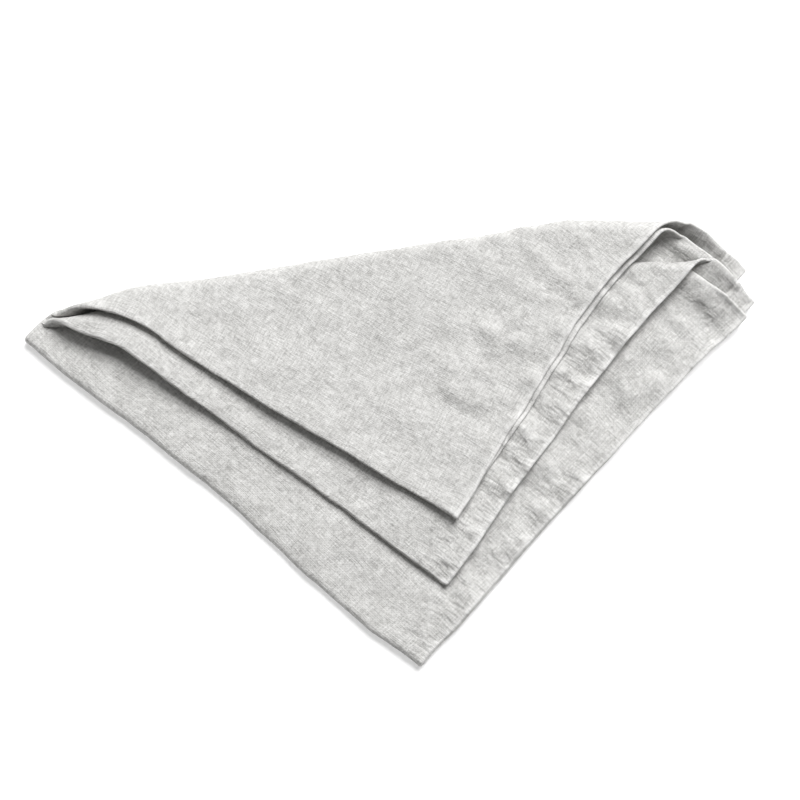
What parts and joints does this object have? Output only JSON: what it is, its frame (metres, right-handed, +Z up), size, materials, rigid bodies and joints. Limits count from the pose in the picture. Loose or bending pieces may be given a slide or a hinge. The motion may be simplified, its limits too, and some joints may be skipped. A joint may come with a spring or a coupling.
{
  "type": "folded cloth napkin",
  "caption": "Square linen napkin with narrow hems, folded in quarters and loosely folded once more across a corner.",
  "frame": {"origin": "middle of the napkin's bounding box, on the surface it rests on", "axes": "+Z up from the surface; the long side of the folded napkin lies mostly along X, its closed corner at -X and its hemmed end at +X"},
  "size_m": [0.3284, 0.2028, 0.0161],
  "materials": {
    "linen": "matte pale grey plain-weave linen"
  },
  "bodies": {
    "root": {"napkin": "linen"}
  },
  "joints": []
}
